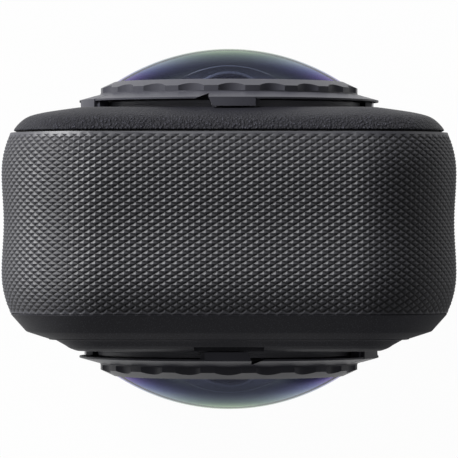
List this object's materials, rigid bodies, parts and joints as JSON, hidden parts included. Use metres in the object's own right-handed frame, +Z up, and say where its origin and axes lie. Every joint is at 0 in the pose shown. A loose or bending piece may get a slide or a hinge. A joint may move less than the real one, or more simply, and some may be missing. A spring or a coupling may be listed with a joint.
{
  "type": "360-degree camera",
  "caption": "Rounded-block 360-degree camera with a knurled grip band, a twist-off dome lens on each face, a rear screen, side buttons, a latched battery door and fold-out mounting fingers.",
  "frame": {"origin": "centre of the bounding box at the foot, under the lens mid-plane", "axes": "+Z up, lens axis along Y, front lens towards -Y, rear lens and screen towards +Y, buttons towards +X"},
  "size_m": [0.062, 0.05, 0.07],
  "materials": {
    "grip_rubber": "matte, diamond knurled",
    "shell": "fine spark-eroded grain",
    "frame": "cast",
    "door_skin": "matte, diamond knurled",
    "lens_ring": "satin",
    "dome_glass": "coated",
    "lens_glass": "coated",
    "lens_black": "matte black",
    "seal": "matte",
    "steel": "plain",
    "nut": "turned",
    "brass": "plain",
    "circuit_board": "solder mask",
    "chip": "moulded",
    "flex": "film",
    "screen": "gloss",
    "display": "dark",
    "button": "satin",
    "switch": "plain",
    "latch": "satin",
    "battery": "wrapped",
    "tray": "plain",
    "card": "plain",
    "light": "clear",
    "base": "fine grain",
    "finger": "satin"
  },
  "bodies": {
    "camera_body": {"grip_band": "grip_rubber", "front_cover": "shell", "front_plate": "shell", "rear_cover": "shell", "mid_frame": "frame", "front_inner_lens": "lens_glass", "rear_inner_lens": "lens_glass", "front_relay_lens": "lens_glass", "rear_relay_lens": "lens_glass", "front_barrel": "lens_black", "rear_barrel": "lens_black", "front_socket": "lens_black", "rear_socket": "lens_black", "front_gasket": "seal", "rear_gasket": "seal", "cover_screws": "steel", "door_hinge_pin": "steel", "finger_pins": "steel", "card_socket": "steel", "usb_port": "steel", "front_socket_nut": "nut", "rear_socket_nut": "nut", "heat_sink": "nut", "tripod_insert": "brass", "battery_contacts": "brass", "front_sensor_board": "circuit_board", "rear_sensor_board": "circuit_board", "main_board": "circuit_board", "port_board": "circuit_board", "front_sensor": "chip", "rear_sensor": "chip", "processor": "chip", "speaker": "chip", "front_flex": "flex", "rear_flex": "flex", "screen_glass": "screen", "display_panel": "display", "shutter_switch": "switch", "mode_switch": "switch", "microphones": "switch", "battery": "battery", "battery_tray": "tray", "status_lights": "light", "base_plate": "base"},
    "front_lens": {"front_dome": "dome_glass", "front_lens_ring": "lens_ring", "front_lens_seal": "seal"},
    "rear_lens": {"rear_dome": "dome_glass", "rear_lens_ring": "lens_ring", "rear_lens_seal": "seal"},
    "shutter": {"shutter_button": "button"},
    "mode": {"mode_button": "button"},
    "door": {"battery_door": "door_skin", "door_gasket": "seal", "latch_spring": "steel"},
    "latch": {"door_latch": "latch"},
    "left_arm": {"left_finger": "finger"},
    "right_arm": {"right_finger": "finger"},
    "card": {"memory_card": "card"}
  },
  "joints": [
    {"name": "front_lens_twist", "type": "hinge", "parent": "camera_body", "child": "front_lens", "pos_m": [0, -0.0165, 0.0425], "axis": [0, -1, 0], "range_deg": [0, 45]},
    {"name": "rear_lens_twist", "type": "hinge", "parent": "camera_body", "child": "rear_lens", "pos_m": [0, 0.0165, 0.0425], "axis": [0, 1, 0], "range_deg": [0, 45]},
    {"name": "shutter_press", "type": "slide", "parent": "camera_body", "child": "shutter", "axis": [-1, 0, 0], "range_m": [0, 0.0005], "stiffness_N_per_m": 400},
    {"name": "mode_press", "type": "slide", "parent": "camera_body", "child": "mode", "axis": [-1, 0, 0], "range_m": [0, 0.0005], "stiffness_N_per_m": 400},
    {"name": "door_hinge", "type": "hinge", "parent": "camera_body", "child": "door", "pos_m": [-0.0298, 0.0005, 0.017], "axis": [0, -1, 0], "range_deg": [0, 90]},
    {"name": "latch_slide", "type": "slide", "parent": "door", "child": "latch", "axis": [0, 0, -1], "range_m": [0, 0.002], "stiffness_N_per_m": 150, "deforming": ["latch_spring"]},
    {"name": "left_finger_fold", "type": "hinge", "parent": "camera_body", "child": "left_arm", "pos_m": [-0.0031, 0, 0.00155], "axis": [0, -1, 0], "range_deg": [0, 90]},
    {"name": "right_finger_fold", "type": "hinge", "parent": "camera_body", "child": "right_arm", "pos_m": [0.0031, 0, 0.00155], "axis": [0, 1, 0], "range_deg": [0, 90]},
    {"name": "card_push", "type": "slide", "parent": "camera_body", "child": "card", "axis": [1, 0, 0], "range_m": [0, 0.0008], "stiffness_N_per_m": 150}
  ]
}
